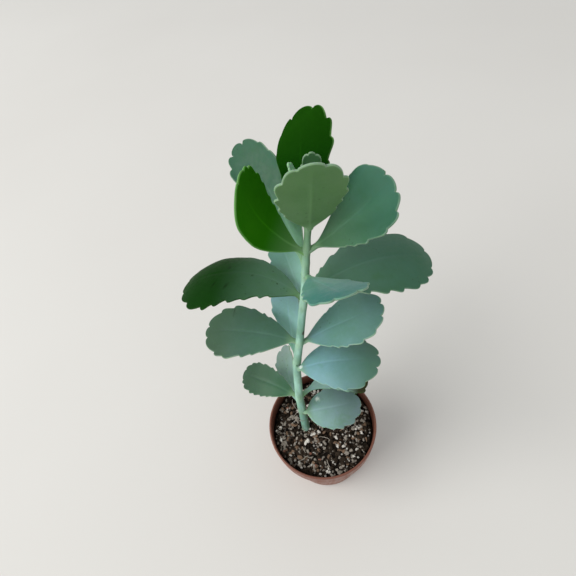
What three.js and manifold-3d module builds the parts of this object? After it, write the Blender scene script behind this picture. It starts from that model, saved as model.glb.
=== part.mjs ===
// A potted kalanchoe: a thin plastic nursery pot, its potting soil, one leaning stem
// and nineteen scalloped succulent leaves set on it in nearly opposite pairs.
// Millimetres, +Z up, origin at the centre of the pot's flat base, viewer on the -Y side.

import * as THREE from "three";
import { mergeVertices } from "three/addons/utils/BufferGeometryUtils.js";
import Module from "manifold-3d";

const wasm = await Module();
wasm.setup();

// ---------------------------------------------------------------- driving dimensions

const GAP = 0.35; // clearance between pieces that rest against each other

// Pot: a tapered cup with a straight collar and a small rounded lip.
const POT_HEIGHT = 52;
const RIM_RADIUS = 30;
const COLLAR_HEIGHT = 10.5;
const COLLAR_DRAFT = 0.5; // how much narrower the collar is at its lower edge
const COLLAR_STEP = 2.6; // how far the collar stands out from the cup
const BASE_RADIUS = 22.5;
const WALL = 0.9;
const LIP = 1.2; // width of the rounded lip
const FLOOR = 1.6;
const DRAIN_RADIUS = 2.4;
const DRAIN_CIRCLE = 13;
const DRAIN_COUNT = 5;
const POT_SIDES = 44;

// Soil: fills the pot to a few millimetres below the lip.
const SOIL_TOP = 46;
const SOIL_RELIEF = 0.9; // height of the crumbs on its surface
const CRUMB_SIZE = 3.2;
const SOIL_RINGS = 9;
const SOIL_SIDES = 36;

// Stem: leans away from the viewer and swells a little where a pair of leaves sits.
const STEM_FOOT = 38.5;
const STEM_TOP = 197;
const STEM_LEAN = 9; // degrees from upright, away from the viewer
const STEM_FOOT_RADIUS = 2.2;
const STEM_TOP_RADIUS = 1;
const STEM_SIDES = 10;
const STEM_STEPS = 40;
const NODE_SWELLING = 0.3;
const NODE_LENGTH = 3;
// Sideways wander of the stem: height, then distance from the pot's axis.
const STEM_WANDER = [
  [36, -9.5], [57, -9.5], [79, -9.5], [106, -7.5], [123, -4],
  [142, -0.5], [152, 1.5], [166, 3.5], [182, 6], [200, 7.8],
];

// Blades: fleshy in the middle, thinner at the margin, round in the leaf stalk.
const BLADE_HALF_THICKNESS = 0.8;
const MARGIN_HALF_THICKNESS = 0.4;
const STALK_HALF_WIDTH = 1.2;
const STALK_HALF_THICKNESS = 1.1;
const STALK_SHARE = 0.16; // share of the leaf's length that thickens into the stalk
const TOOTH_START = 0.3; // share of the margin, from the stalk, that is smooth
const TOOTH_GROWTH = 1.25; // above 1 the teeth grow longer towards the tip
const TOOTH_DEPTH = 0.37; // of the longest teeth, as a share of their own length
const FIRST_TOOTH_DEPTH = 0.35; // depth of the first tooth as a share of the last one's
const TOOTH_SINK = 0.85; // share of a tooth's depth that is cut into the smooth outline
const FIRST_TOOTH_LEAN = 3; // above 1 the teeth lean towards the tip
const TOOTH_LEAN = 1.7;
const FIRST_TOOTH_FULLNESS = 0.85; // below 1 the teeth are fuller and the notches narrower
const TOOTH_FULLNESS = 0.5;
const DEPTH_UNEVENNESS = 0.5;
const SPACING_UNEVENNESS = 0.22;
const BLADE_STEPS = 32;
const OUTLINE_STEPS = 60;
const BLADE_COLUMNS = 2;
const FAN = 0.16; // the last side veins leave the midrib this far short of the tip
const WAVE_SHARE = 0.8;
const TOOTH_PHASES = [0, 0.35, 0.7, 0.9]; // places along each tooth
const TIP_PHASES = [0, 0.33, 0.67, 1]; // and along half of the one at the tip
const SMOOTH_POINTS = 4;

const BLUE_GREEN = 0x6f9a92;
const GREY_GREEN = 0x4f7560;
const DEEP_GREEN = 0x1f4d12;
const OLIVE_GREEN = 0x56774a;

// Leaves from the soil upwards. height: where the stalk leaves the stem. azimuth: the way
// the leaf points, 0 to the right and 90 away from the viewer. seat: the side of the stem
// that the stalk grows from, where that differs. rise and droop: slope at the stalk and how
// much of it is lost by the tip. sweep: turn to the left along the leaf. roll and twist:
// tilt about the midrib and its change by the tip. widest: share of the length at the
// widest place. cup: above 0 the margins turn up, below 0 they turn down. lift: how far the
// left margin waves upwards along the first WAVE_SHARE of the leaf. teeth: how many each
// margin has before the one at the tip. leftTeeth and rightTeeth: depth of that margin's
// teeth, 1 being the usual one. smooth: share of the margin without teeth, where it is not
// TOOTH_START. Angles in degrees.
const LEAVES = [
  { name: "leaf_1_front", height: 67, azimuth: -4, seat: -40, rise: 9, droop: 18, sweep: 8,
    length: 29, width: 23.5, widest: 0.54, roll: 4, twist: 0, cup: -0.3, teeth: 4, colour: BLUE_GREEN },
  { name: "leaf_1_back", height: 67, azimuth: 104, rise: 17, droop: 26, sweep: -17,
    length: 36, width: 15.5, widest: 0.68, roll: -42, twist: -2, cup: 0.45,
    teeth: 4, colour: GREY_GREEN },
  { name: "leaf_2_left", height: 79.5, azimuth: 145, rise: 10, droop: 44, sweep: -5,
    length: 35, width: 17.5, widest: 0.64, roll: -12, twist: -10, cup: 0.1,
    teeth: 6, colour: GREY_GREEN },
  { name: "leaf_2_right", height: 79.5, azimuth: 22, rise: 16, droop: 54, sweep: -16,
    length: 38.5, width: 25, widest: 0.77, roll: 3, twist: 0, cup: -0.14,
    teeth: 5, colour: BLUE_GREEN },
  { name: "leaf_3_front", height: 109, azimuth: -2, seat: -80, rise: 19, droop: 20, sweep: -18,
    length: 37, width: 28, widest: 0.62, roll: 0, twist: -8, cup: -0.35, teeth: 4, colour: BLUE_GREEN },
  { name: "leaf_3_back", height: 109, azimuth: 89, rise: 36, droop: 0, sweep: -6,
    length: 36, width: 21, widest: 0.7, roll: -42, twist: -4, cup: 0.45, teeth: 4, colour: BLUE_GREEN },
  { name: "leaf_4_left", height: 123, azimuth: 156, rise: 11, droop: 27, sweep: 8,
    length: 43, width: 27, widest: 0.66, roll: 0, twist: -5, cup: 0, teeth: 5, colour: GREY_GREEN },
  { name: "leaf_4_right", height: 123, azimuth: 1, rise: 30, droop: 5, sweep: -7,
    length: 38, width: 26.5, widest: 0.66, roll: -3, twist: -3, cup: 0, teeth: 5, colour: BLUE_GREEN },
  { name: "leaf_5_back", height: 146, azimuth: 94, rise: 5, droop: 22, sweep: 6,
    length: 46, width: 17.5, widest: 0.62, roll: -40, twist: 2, cup: 0.4,
    teeth: 5, colour: BLUE_GREEN },
  { name: "leaf_6_left", height: 150, azimuth: 146, rise: 38, droop: 76, sweep: 36,
    length: 53, width: 36.5, widest: 0.65, roll: 17, twist: 2, cup: -0.4, lift: 1.5,
    teeth: 7, leftTeeth: 1.2, rightTeeth: 0.6, smooth: 0.2, colour: GREY_GREEN },
  { name: "leaf_6_right", height: 151, azimuth: 16, rise: 24, droop: 60, sweep: -11,
    length: 57, width: 33, widest: 0.62, roll: -6, twist: 11, cup: -0.28,
    teeth: 8, smooth: 0.12, colour: GREY_GREEN },
  { name: "leaf_7_front", height: 162.5, azimuth: -71, rise: 31, droop: -14, sweep: 2,
    length: 36, width: 21.5, widest: 0.66, roll: -12, twist: 5, cup: -0.14,
    teeth: 4, colour: BLUE_GREEN },
  { name: "leaf_7_back", height: 167, azimuth: 105, rise: 46, droop: 36, sweep: 14,
    length: 52.5, width: 20, widest: 0.66, roll: -38, twist: 6, cup: 0.45,
    teeth: 6, rightTeeth: 0.4, colour: BLUE_GREEN },
  { name: "leaf_8_left", height: 173, azimuth: 158, rise: 29, droop: -70, sweep: 6,
    length: 39, width: 26, widest: 0.67, roll: -3, twist: 0, cup: 0.18,
    teeth: 6, leftTeeth: 0.1, colour: DEEP_GREEN },
  { name: "leaf_8_right", height: 174, azimuth: -4, rise: 34, droop: -19, sweep: 6,
    length: 36.7, width: 27.6, widest: 0.71, roll: 6, twist: 8, cup: 0.2,
    teeth: 5, leftTeeth: 0.2, colour: GREY_GREEN },
  { name: "leaf_9_front", height: 185.3, azimuth: -85, rise: 72, droop: 3, sweep: -1,
    length: 36.7, width: 22, widest: 0.6, roll: -6, twist: 1, cup: 0, teeth: 4, colour: OLIVE_GREEN },
  { name: "leaf_9_back", height: 184, azimuth: 85, rise: 54, droop: 32, sweep: -10,
    length: 38.5, width: 25.5, widest: 0.68, roll: -31, twist: -7, cup: -0.18,
    teeth: 4, leftTeeth: 0.3, rightTeeth: 1.4, colour: DEEP_GREEN },
  { name: "leaf_10_left", height: 193, azimuth: 172, rise: 95, droop: 24, sweep: 0,
    length: 16, width: 7, widest: 0.5, roll: -6, twist: 0, cup: 0.1, teeth: 3, colour: OLIVE_GREEN },
  { name: "leaf_10_right", height: 193, azimuth: 50, rise: 72, droop: -20, sweep: 10,
    length: 16, width: 7.5, widest: 0.62, roll: 10, twist: 6, cup: 0, teeth: 3, colour: GREY_GREEN },
];

// ---------------------------------------------------------------- helpers

const radians = THREE.MathUtils.degToRad;
const { clamp, lerp } = THREE.MathUtils;

function closedGeometry(points, triangles) {
  const geometry = new THREE.BufferGeometry();
  const position = points.flatMap((point) => [point.x, point.y, point.z]);
  geometry.setAttribute("position", new THREE.Float32BufferAttribute(position, 3));
  geometry.setIndex(triangles);
  return geometry;
}

// Merges the seam and the poles of a lathe or a cylinder into one closed mesh.
function weld(geometry) {
  geometry.deleteAttribute("normal");
  geometry.deleteAttribute("uv");
  const merged = mergeVertices(geometry, 1e-4);
  const index = merged.index.array;
  const kept = [];
  for (let i = 0; i < index.length; i += 3) {
    const [a, b, c] = [index[i], index[i + 1], index[i + 2]];
    if (a !== b && b !== c && c !== a) kept.push(a, b, c);
  }
  merged.setIndex(kept);
  return merged;
}

function toSolid(geometry) {
  const welded = weld(geometry);
  const mesh = new wasm.Mesh({
    numProp: 3,
    vertProperties: new Float32Array(welded.attributes.position.array),
    triVerts: new Uint32Array(welded.index.array),
  });
  return new wasm.Manifold(mesh);
}

function fromSolid(solid) {
  const mesh = solid.getMesh();
  const geometry = new THREE.BufferGeometry();
  geometry.setAttribute("position", new THREE.Float32BufferAttribute(mesh.vertProperties, 3));
  geometry.setIndex(Array.from(mesh.triVerts));
  return geometry;
}

function finished(name, geometry, colour, roughness) {
  geometry.computeVertexNormals();
  const material = new THREE.MeshStandardMaterial({ color: colour, roughness, metalness: 0 });
  const mesh = new THREE.Mesh(geometry, material);
  mesh.name = name;
  return mesh;
}

// Straight-line reading of a table of [key, value] rows.
function between(rows, key) {
  const last = rows.length - 1;
  if (key <= rows[0][0]) return rows[0][1];
  if (key >= rows[last][0]) return rows[last][1];
  const next = rows.findIndex((row) => row[0] > key);
  const [k0, v0] = rows[next - 1];
  const [k1, v1] = rows[next];
  return lerp(v0, v1, (key - k0) / (k1 - k0));
}

// Repeatable value in -1..1 for a pair of numbers.
function draw(i, j) {
  const value = Math.sin(i * 127.1 + j * 311.7 + 5.3) * 43758.5453;
  return 2 * (value - Math.floor(value)) - 1;
}

// ---------------------------------------------------------------- pot

const COLLAR_FOOT = POT_HEIGHT - COLLAR_HEIGHT;
const CUP_TOP_RADIUS = RIM_RADIUS - COLLAR_DRAFT - COLLAR_STEP;

// Inner radius of the cup at a height below the collar.
function cupInside(height) {
  const share = (height - FLOOR) / (COLLAR_FOOT - FLOOR);
  return lerp(BASE_RADIUS, CUP_TOP_RADIUS, share) - WALL;
}

function makePot() {
  const collarBottom = RIM_RADIUS - COLLAR_DRAFT;
  const lipRound = LIP * 0.35;
  const profile = [
    [0, 0],
    [BASE_RADIUS - 1, 0],
    [BASE_RADIUS, 1],
    [CUP_TOP_RADIUS, COLLAR_FOOT - 0.8],
    [collarBottom - 0.4, COLLAR_FOOT],
    [collarBottom, COLLAR_FOOT + 0.5],
    [RIM_RADIUS - 0.3, POT_HEIGHT - 2.2],
    [RIM_RADIUS, POT_HEIGHT - 1.6],
    [RIM_RADIUS, POT_HEIGHT - lipRound],
    [RIM_RADIUS - lipRound, POT_HEIGHT],
    [RIM_RADIUS - LIP + lipRound, POT_HEIGHT],
    [RIM_RADIUS - LIP, POT_HEIGHT - lipRound],
    [collarBottom - WALL - 0.4, COLLAR_FOOT + 1.6],
    [cupInside(COLLAR_FOOT), COLLAR_FOOT + 0.4],
    [cupInside(FLOOR + 1.2), FLOOR + 1.2],
    [cupInside(FLOOR) - 1.2, FLOOR],
    [0, FLOOR],
  ];
  const points = profile.map(([radius, height]) => new THREE.Vector2(radius, height));
  const shell = new THREE.LatheGeometry(points, POT_SIDES).rotateX(Math.PI / 2);
  let pot = toSolid(shell);
  for (let i = 0; i < DRAIN_COUNT; i += 1) {
    const turn = (2 * Math.PI * (i + 0.5)) / DRAIN_COUNT;
    const drain = new THREE.CylinderGeometry(DRAIN_RADIUS, DRAIN_RADIUS, 3 * FLOOR, 16);
    drain.rotateX(Math.PI / 2);
    drain.translate(DRAIN_CIRCLE * Math.cos(turn), DRAIN_CIRCLE * Math.sin(turn), FLOOR / 2);
    pot = pot.subtract(toSolid(drain));
  }
  return finished("pot", fromSolid(pot), 0xa9705e, 0.55);
}

// ---------------------------------------------------------------- stem

const NODE_HEIGHTS = [...new Set(LEAVES.map((leaf) => leaf.height))];

// Centre of the stem at a height.
function stemCentre(height) {
  const away = Math.tan(radians(STEM_LEAN)) * (height - SOIL_TOP) + 0.7;
  return new THREE.Vector3(between(STEM_WANDER, height), away, height);
}

function stemRadius(height) {
  const share = (height - STEM_FOOT) / (STEM_TOP - STEM_FOOT);
  const plain = lerp(STEM_FOOT_RADIUS, STEM_TOP_RADIUS, clamp(share, 0, 1) ** 1.6);
  const swelling = NODE_HEIGHTS.reduce(
    (sum, node) => Math.max(sum, Math.exp(-(((height - node) / NODE_LENGTH) ** 2))),
    0,
  );
  return plain + NODE_SWELLING * swelling * share;
}

function makeStem() {
  const heights = [];
  for (let i = 0; i <= STEM_STEPS; i += 1) heights.push(lerp(STEM_FOOT, STEM_TOP, i / STEM_STEPS));
  const path = new THREE.CatmullRomCurve3(heights.map(stemCentre));
  const points = [];
  const triangles = [];
  heights.forEach((height, ring) => {
    const centre = stemCentre(height);
    const along = path.getTangent(ring / STEM_STEPS);
    const side = new THREE.Vector3(0, 1, 0).cross(along).normalize();
    const front = along.clone().cross(side);
    for (let k = 0; k < STEM_SIDES; k += 1) {
      const turn = (2 * Math.PI * k) / STEM_SIDES;
      const radius = stemRadius(height);
      const point = centre.clone();
      point.addScaledVector(side, radius * Math.cos(turn));
      point.addScaledVector(front, radius * Math.sin(turn));
      points.push(point);
    }
  });
  for (let ring = 0; ring < STEM_STEPS; ring += 1) {
    for (let k = 0; k < STEM_SIDES; k += 1) {
      const a = ring * STEM_SIDES + k;
      const b = ring * STEM_SIDES + ((k + 1) % STEM_SIDES);
      triangles.push(a, b, b + STEM_SIDES, a, b + STEM_SIDES, a + STEM_SIDES);
    }
  }
  const foot = points.push(stemCentre(STEM_FOOT)) - 1;
  const bud = points.push(stemCentre(STEM_TOP + 2.5 * STEM_TOP_RADIUS)) - 1;
  const lastRing = STEM_STEPS * STEM_SIDES;
  for (let k = 0; k < STEM_SIDES; k += 1) {
    const next = (k + 1) % STEM_SIDES;
    triangles.push(foot, next, k);
    triangles.push(bud, lastRing + k, lastRing + next);
  }
  return finished("stem", closedGeometry(points, triangles), 0x8fb59a, 0.6);
}

// ---------------------------------------------------------------- soil

function crumbs(x, y) {
  const [i, j] = [Math.floor(x / CRUMB_SIZE), Math.floor(y / CRUMB_SIZE)];
  const [u, v] = [x / CRUMB_SIZE - i, y / CRUMB_SIZE - j];
  const near = lerp(draw(i, j), draw(i + 1, j), u);
  const far = lerp(draw(i, j + 1), draw(i + 1, j + 1), u);
  return SOIL_RELIEF * lerp(near, far, v);
}

function makeSoil() {
  const bottom = FLOOR + GAP;
  const topRadius = RIM_RADIUS - LIP - 3 * GAP;
  const profile = [
    [topRadius, SOIL_TOP],
    [topRadius, COLLAR_FOOT + 1.6 + GAP],
    [cupInside(COLLAR_FOOT) - 2 * GAP, COLLAR_FOOT],
    [cupInside(FLOOR + 1.2) - 2 * GAP, FLOOR + 1.2 + GAP],
    [cupInside(FLOOR) - 1.2 - 2 * GAP, bottom],
  ];
  const points = [];
  const triangles = [];
  const addRing = (radius, height, rough) => {
    for (let k = 0; k < SOIL_SIDES; k += 1) {
      const turn = (2 * Math.PI * k) / SOIL_SIDES;
      const [x, y] = [radius * Math.cos(turn), radius * Math.sin(turn)];
      points.push(new THREE.Vector3(x, y, height + (rough ? crumbs(x, y) : 0)));
    }
  };
  points.push(new THREE.Vector3(0, 0, SOIL_TOP + crumbs(0, 0)));
  for (let ring = 1; ring < SOIL_RINGS; ring += 1) {
    addRing((topRadius * ring) / SOIL_RINGS, SOIL_TOP, true);
  }
  profile.forEach(([radius, height], row) => addRing(radius, height, row === 0));
  const rings = SOIL_RINGS - 1 + profile.length;
  for (let k = 0; k < SOIL_SIDES; k += 1) {
    const next = (k + 1) % SOIL_SIDES;
    triangles.push(0, 1 + k, 1 + next);
    for (let ring = 0; ring < rings - 1; ring += 1) {
      const inner = 1 + ring * SOIL_SIDES;
      const outer = inner + SOIL_SIDES;
      triangles.push(inner + k, outer + k, outer + next, inner + k, outer + next, inner + next);
    }
  }
  const centre = points.push(new THREE.Vector3(0, 0, bottom)) - 1;
  const lastRing = 1 + (rings - 1) * SOIL_SIDES;
  for (let k = 0; k < SOIL_SIDES; k += 1) {
    triangles.push(centre, lastRing + ((k + 1) % SOIL_SIDES), lastRing + k);
  }
  const body = toSolid(closedGeometry(points, triangles));
  const holeRadius = STEM_FOOT_RADIUS + 2 * GAP;
  const holeBottom = STEM_FOOT - GAP;
  const holeTop = SOIL_TOP + 4;
  const hole = new THREE.CylinderGeometry(holeRadius, holeRadius, holeTop - holeBottom, 16);
  const foot = stemCentre((STEM_FOOT + SOIL_TOP) / 2);
  hole.rotateX(Math.PI / 2).translate(foot.x, foot.y, (holeTop + holeBottom) / 2);
  return finished("soil", fromSolid(body.subtract(toSolid(hole))), 0x3a302b, 0.95);
}

// ---------------------------------------------------------------- leaves

// Half width of the smooth outline at a share of the length.
function halfWidth(leaf, share) {
  const rest = clamp(1 - share, 0, 1);
  const power = (0.5 * leaf.widest) / (1 - leaf.widest);
  const top = leaf.widest ** power * Math.sqrt(1 - leaf.widest);
  const blade = ((leaf.width / 2) * clamp(share, 0, 1) ** power * Math.sqrt(rest)) / top;
  const stalk = STALK_HALF_WIDTH * Math.sqrt(rest);
  return Math.cbrt(blade ** 3 + stalk ** 3);
}

// Frames along the midrib: place, the way across to the left, and the way up.
function midrib(leaf) {
  const seat = radians(leaf.seat ?? leaf.azimuth);
  const sideways = Math.abs(Math.sin(radians(leaf.azimuth) - seat));
  const upwards = Math.abs(Math.sin(radians(leaf.rise)));
  const clear =
    stemRadius(leaf.height) + GAP + STALK_HALF_WIDTH * sideways + STALK_HALF_THICKNESS * upwards;
  const place = stemCentre(leaf.height);
  place.x += clear * Math.cos(seat);
  place.y += clear * Math.sin(seat);
  const step = leaf.length / BLADE_STEPS;
  const frames = [];
  for (let i = 0; i <= BLADE_STEPS + 4; i += 1) {
    const share = i / BLADE_STEPS;
    const slope = radians(leaf.rise - leaf.droop * share);
    const heading = radians(leaf.azimuth + leaf.sweep * share);
    const along = new THREE.Vector3(
      Math.cos(slope) * Math.cos(heading),
      Math.cos(slope) * Math.sin(heading),
      Math.sin(slope),
    );
    const level = new THREE.Vector3(-Math.sin(heading), Math.cos(heading), 0);
    const tilt = radians(leaf.roll + leaf.twist * share);
    const across = level.clone().applyAxisAngle(along, tilt);
    const up = along.clone().cross(across);
    if (i > 0) place.addScaledVector(along, step / 2);
    frames.push({ place: place.clone(), across, up });
    place.addScaledVector(along, step / 2);
  }
  return frames;
}

// Point of the middle surface at a share of the length and a distance to the left, with the
// surface's upward direction there.
function bladePoint(leaf, frames, share, sideways) {
  const at = clamp(share * BLADE_STEPS, 0, frames.length - 1.001);
  const i = Math.floor(at);
  const [low, high] = [frames[i], frames[i + 1]];
  const mix = (key) => low[key].clone().lerp(high[key], at - i);
  const [place, across, up] = [mix("place"), mix("across").normalize(), mix("up").normalize()];
  const bend = (2 * leaf.cup) / leaf.width || 1e-6;
  const angle = bend * sideways;
  const out = Math.max(0, (2 * sideways) / leaf.width) ** 2;
  const arch = Math.sin(Math.PI * clamp(share / WAVE_SHARE, 0, 1)) ** 2;
  const wave = (leaf.lift ?? 0) * arch * out;
  const point = place
    .addScaledVector(across, Math.sin(angle) / bend)
    .addScaledVector(up, (1 - Math.cos(angle)) / bend + wave);
  const upward = up.multiplyScalar(Math.cos(angle)).addScaledVector(across, -Math.sin(angle));
  return { point, upward };
}

// Smooth outline on one side, evenly spaced from the stalk (0) to the tip (1).
// Each reading is a point: distance along the midrib, distance to the side.
function smoothOutline(leaf) {
  const outline = [];
  for (let i = 0; i <= OUTLINE_STEPS; i += 1) {
    const share = 1 - (1 - i / OUTLINE_STEPS) ** 2;
    outline.push(new THREE.Vector2(share * leaf.length, halfWidth(leaf, share)));
  }
  const travelled = outline.map(() => 0);
  for (let i = 1; i <= OUTLINE_STEPS; i += 1) {
    travelled[i] = travelled[i - 1] + outline[i].distanceTo(outline[i - 1]);
  }
  const rows = (axis) => outline.map((point, i) => [travelled[i] / travelled[OUTLINE_STEPS], point[axis]]);
  const [xs, ys] = [rows("x"), rows("y")];
  return (at) => new THREE.Vector2(between(xs, at), between(ys, at));
}

function smoothShare(leaf) {
  return leaf.smooth ?? TOOTH_START;
}

// Shares of the margin at which its teeth meet; the tip is in the middle of the last tooth.
function notches(leaf, side) {
  const ends = [];
  for (let tooth = 0; tooth <= leaf.teeth; tooth += 1) {
    const shift = tooth > 0 ? SPACING_UNEVENNESS * draw(tooth + 40 * side, leaf.length) : 0;
    const share = ((tooth + shift) / (leaf.teeth + 0.5)) ** TOOTH_GROWTH;
    ends.push(lerp(smoothShare(leaf), 1, share));
  }
  return [...ends, 1];
}

// Depth of each tooth of one margin. Both margins share the last tooth.
function toothDepths(leaf, side) {
  const longest = (leaf.length * (1 - smoothShare(leaf))) / (leaf.teeth + 0.5);
  const depths = [];
  for (let tooth = 0; tooth <= leaf.teeth; tooth += 1) {
    const shared = tooth === leaf.teeth;
    const chance = Math.abs(draw(tooth + (shared ? 0 : 20 * side), leaf.length));
    const own = shared ? 1 : (side > 0 ? leaf.leftTeeth : leaf.rightTeeth) ?? 1;
    const grown = lerp(FIRST_TOOTH_DEPTH, 1, tooth / leaf.teeth);
    depths.push(TOOTH_DEPTH * longest * grown * own * (1 - DEPTH_UNEVENNESS * chance));
  }
  return depths;
}

// Margin on one side (1 left, -1 right): a smooth stretch, then rounded teeth. Each row is
// [share of the length, distance from the midrib, where the row's side vein leaves the rib].
function toothedMargin(leaf, side) {
  const outline = smoothOutline(leaf);
  const ends = notches(leaf, side);
  const depths = toothDepths(leaf, side);
  const start = smoothShare(leaf);
  const rows = [];
  for (let i = 0; i < SMOOTH_POINTS; i += 1) {
    const place = (start * i) / SMOOTH_POINTS;
    const here = outline(place);
    rows.push([here.x / leaf.length, here.y, place]);
  }
  for (let tooth = 0; tooth <= leaf.teeth; tooth += 1) {
    const last = tooth === leaf.teeth;
    const lean = lerp(FIRST_TOOTH_LEAN, TOOTH_LEAN, tooth / leaf.teeth);
    const fullness = lerp(FIRST_TOOTH_FULLNESS, TOOTH_FULLNESS, tooth / leaf.teeth);
    for (const phase of last ? TIP_PHASES : TOOTH_PHASES) {
      const place = lerp(ends[tooth], ends[tooth + 1], phase);
      const here = outline(place);
      const way = outline(Math.min(place + 0.01, 1)).sub(outline(place - 0.01)).normalize();
      const outward = place === 1 ? new THREE.Vector2(1, 0) : new THREE.Vector2(-way.y, way.x);
      const swell = Math.sin(Math.PI * (last ? phase / 2 : phase ** lean)) ** fullness;
      here.addScaledVector(outward, depths[tooth] * (swell - TOOTH_SINK));
      const even = lerp(start, 1, (tooth + (last ? phase / 2 : phase)) / (leaf.teeth + 0.5));
      rows.push([here.x / leaf.length, Math.max(here.y, 0), even]);
    }
  }
  return rows;
}

function halfThickness(share, fraction) {
  const blade = lerp(BLADE_HALF_THICKNESS, MARGIN_HALF_THICKNESS, fraction ** 2);
  const stalk = clamp(1 - share / STALK_SHARE, 0, 1);
  return blade + (STALK_HALF_THICKNESS - BLADE_HALF_THICKNESS) * stalk ** 2;
}

// A closed blade. Its upper and lower faces are split into the same triangles. Side veins
// run from the midrib (column 0) to the margin (last column) and fan out towards the tip,
// where the two halves share the last row.
function makeLeaf(leaf) {
  const frames = midrib(leaf);
  const margins = { 1: toothedMargin(leaf, 1), [-1]: toothedMargin(leaf, -1) };
  const rows = margins[1].length - 1;
  const points = [];
  const addPair = (share, sideways, fraction) => {
    const { point, upward } = bladePoint(leaf, frames, share, sideways);
    const half = halfThickness(share, fraction);
    points.push(point.clone().addScaledVector(upward, half));
    points.push(point.clone().addScaledVector(upward, -half));
    return points.length - 2; // the upper point; the lower one follows it
  };
  const grids = { 1: [], [-1]: [] };
  for (let row = 0; row <= rows; row += 1) {
    const place = margins[1][row][2];
    const rib = place * (1 - FAN * place);
    const middle = addPair(rib, 0, 0);
    for (const side of [1, -1]) {
      const [share, distance] = margins[side][row];
      if (row === rows && side === -1) {
        grids[-1].push(grids[1][rows]);
        continue;
      }
      const line = [middle];
      for (let column = 1; column <= BLADE_COLUMNS; column += 1) {
        const fraction = column / BLADE_COLUMNS;
        line.push(addPair(lerp(rib, share, fraction), side * distance * fraction, fraction));
      }
      grids[side].push(line);
    }
  }
  const triangles = [];
  const face = (side, a, b, c) => triangles.push(...(side > 0 ? [a, b, c] : [a, c, b]));
  for (const side of [1, -1]) {
    const grid = grids[side];
    for (let row = 0; row < rows; row += 1) {
      for (let column = 0; column < BLADE_COLUMNS; column += 1) {
        const [a, b] = [grid[row][column], grid[row + 1][column]];
        const [d, c] = [grid[row][column + 1], grid[row + 1][column + 1]];
        face(side, a, b, c);
        face(side, a, c, d);
        face(-side, a + 1, b + 1, c + 1);
        face(-side, a + 1, c + 1, d + 1);
      }
      const [a, b] = [grid[row][BLADE_COLUMNS], grid[row + 1][BLADE_COLUMNS]];
      face(side, a, b, b + 1);
      face(side, a, b + 1, a + 1);
    }
    for (let column = 0; column < BLADE_COLUMNS; column += 1) {
      const [a, b] = [grid[0][column], grid[0][column + 1]];
      face(side, a, b, b + 1);
      face(side, a, b + 1, a + 1);
    }
  }
  return finished(leaf.name, closedGeometry(points, triangles), leaf.colour, 0.6);
}

// ---------------------------------------------------------------- the plant

const plant = new THREE.Group();
plant.name = "potted_kalanchoe";
plant.add(makePot(), makeSoil(), makeStem(), ...LEAVES.map(makeLeaf));

export default plant;
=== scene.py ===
"""Dresses the potted kalanchoe: fine scalloped leaves with veins and waxy bloom, a smooth
stem with its growing tip, a thin plastic pot and gritty potting soil.

Sizes are in millimetres until the meshes are made; Blender's objects are in metres.
"""

from math import cos, pi, radians, sin, sqrt, tan

import bpy
import numpy as np
from mathutils import Matrix, Vector


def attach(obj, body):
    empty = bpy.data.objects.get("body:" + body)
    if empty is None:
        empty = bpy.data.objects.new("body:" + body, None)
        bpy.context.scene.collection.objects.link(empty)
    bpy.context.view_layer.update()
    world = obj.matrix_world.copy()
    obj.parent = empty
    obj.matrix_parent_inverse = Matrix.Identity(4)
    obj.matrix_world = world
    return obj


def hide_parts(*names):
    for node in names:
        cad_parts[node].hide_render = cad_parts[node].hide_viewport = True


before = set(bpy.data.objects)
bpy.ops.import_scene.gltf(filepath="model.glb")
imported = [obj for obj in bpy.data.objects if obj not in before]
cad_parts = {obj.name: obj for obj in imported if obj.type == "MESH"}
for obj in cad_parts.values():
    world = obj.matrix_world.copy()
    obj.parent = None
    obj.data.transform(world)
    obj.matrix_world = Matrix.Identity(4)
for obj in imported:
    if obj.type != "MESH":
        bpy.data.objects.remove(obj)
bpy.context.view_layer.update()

MM = 0.001

# ---------------------------------------------------------------- sizes shared with the part

GAP = 0.35
POT_HEIGHT = 52
RIM_RADIUS = 30
COLLAR_HEIGHT = 10.5
COLLAR_DRAFT = 0.5
COLLAR_STEP = 2.6
BASE_RADIUS = 22.5
WALL = 0.9
LIP = 1.2
FLOOR = 1.6
DRAIN_RADIUS = 2.4
DRAIN_CIRCLE = 13
DRAIN_COUNT = 5
SOIL_TOP = 46
STEM_FOOT = 38.5
STEM_TOP = 197
STEM_LEAN = 9
STEM_FOOT_RADIUS = 2.2
STEM_TOP_RADIUS = 1
NODE_SWELLING = 0.3
NODE_LENGTH = 3
STEM_WANDER = [
    (36, -9.5), (57, -9.5), (79, -9.5), (106, -7.5), (123, -4),
    (142, -0.5), (152, 1.5), (166, 3.5), (182, 6), (200, 7.8),
]
BLADE_HALF_THICKNESS = 0.8
MARGIN_HALF_THICKNESS = 0.4
STALK_HALF_WIDTH = 1.2
STALK_HALF_THICKNESS = 1.1
STALK_SHARE = 0.16
TOOTH_START = 0.3
TOOTH_GROWTH = 1.25
TOOTH_DEPTH = 0.37
FIRST_TOOTH_DEPTH = 0.35
TOOTH_SINK = 0.85
FIRST_TOOTH_LEAN = 3
TOOTH_LEAN = 1.7
FIRST_TOOTH_FULLNESS = 0.85
TOOTH_FULLNESS = 0.5
DEPTH_UNEVENNESS = 0.5
SPACING_UNEVENNESS = 0.22
WAVE_SHARE = 0.8
FAN = 0.16
BLADE_STEPS = 32

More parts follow.
